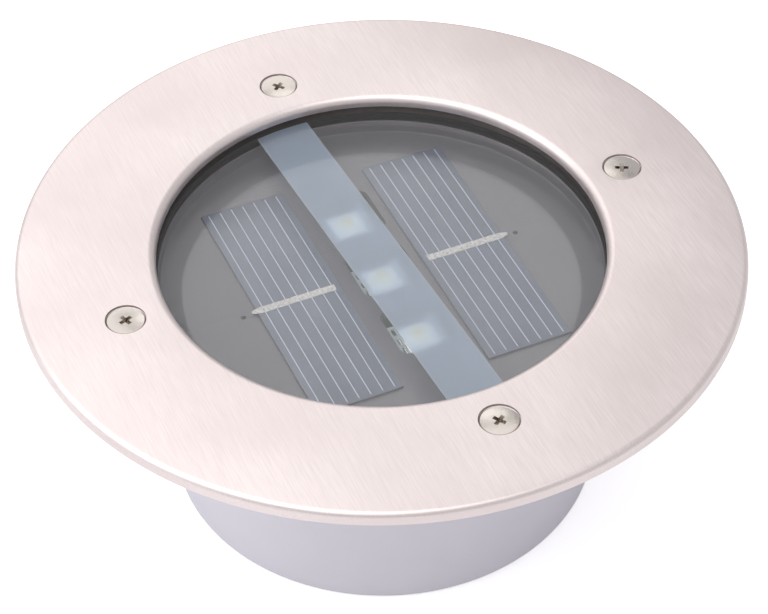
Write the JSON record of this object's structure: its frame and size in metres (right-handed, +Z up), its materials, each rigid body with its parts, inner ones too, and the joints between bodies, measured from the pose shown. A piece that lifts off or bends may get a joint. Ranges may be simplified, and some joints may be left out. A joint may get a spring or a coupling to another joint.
{
  "type": "solar ground light",
  "caption": "Low round garden light with a stainless trim ring, clear window, solar cells and lamps over a plastic cup with a flange; stands on its flat base or sits in a bored hole.",
  "frame": {"origin": "centre of the flat base", "axes": "+Z up through the window, +Y along the frosted strip, +X towards the right-hand solar cell"},
  "size_m": [0.12, 0.12, 0.047],
  "materials": {
    "brushed_steel": "brushed stainless, grain along Y",
    "screw_steel": "polished stainless",
    "clear_window": "clear moulded polycarbonate",
    "frosted_film": "frosted translucent",
    "black_rubber": "smooth rubber",
    "pale_plastic": "fine moulded ABS",
    "grey_tray": "moulded ABS, slight sheen",
    "solar_cell": "etched silicon under clear resin",
    "tinned_copper": "rough tinned ribbon",
    "circuit_board": "solder mask",
    "lamp_housing": "clear epoxy over a white cup",
    "phosphor": "yellow phosphor",
    "black_plastic": "moulded nylon",
    "chip_epoxy": "moulded epoxy",
    "ferrite": "sintered ferrite",
    "capacitor_sleeve": "shrink sleeve",
    "battery_sleeve": "plain shrink sleeve",
    "spring_steel": "nickel plated",
    "wire_insulation": "PVC insulation"
  },
  "bodies": {
    "housing": {"lens_gasket": "black_rubber", "cup": "pale_plastic", "solar_tray": "grey_tray", "solar_cell_left": "solar_cell", "solar_cell_right": "solar_cell", "cell_ribbons": "tinned_copper", "lamp_board": "circuit_board", "lamp_far": "lamp_housing", "lamp_middle": "lamp_housing", "lamp_near": "lamp_housing", "lamp_leads": "tinned_copper", "lamp_dots": "phosphor", "lamp_board_screws": "screw_steel", "control_board": "circuit_board", "control_chip": "chip_epoxy", "inductor": "ferrite", "capacitor": "capacitor_sleeve", "resistors": "chip_epoxy", "control_screws": "screw_steel", "switch_body": "black_plastic", "battery_holder": "black_plastic", "battery": "battery_sleeve", "battery_spring": "spring_steel", "contact_minus": "spring_steel", "contact_plus": "spring_steel", "battery_wires": "wire_insulation", "panel_wires": "wire_insulation", "lamp_wires": "wire_insulation"},
    "cover": {"trim_ring": "brushed_steel", "trim_screws": "screw_steel", "window_lens": "clear_window", "frosted_strip": "frosted_film"},
    "knob": {"switch_knob": "black_plastic"}
  },
  "joints": [
    {"name": "cover_lift", "type": "slide", "parent": "housing", "child": "cover", "axis": [0, 0, 1], "range_m": [0, 0.06]},
    {"name": "switch_slide", "type": "slide", "parent": "housing", "child": "knob", "axis": [0, 1, 0], "range_m": [0, 0.002]}
  ]
}
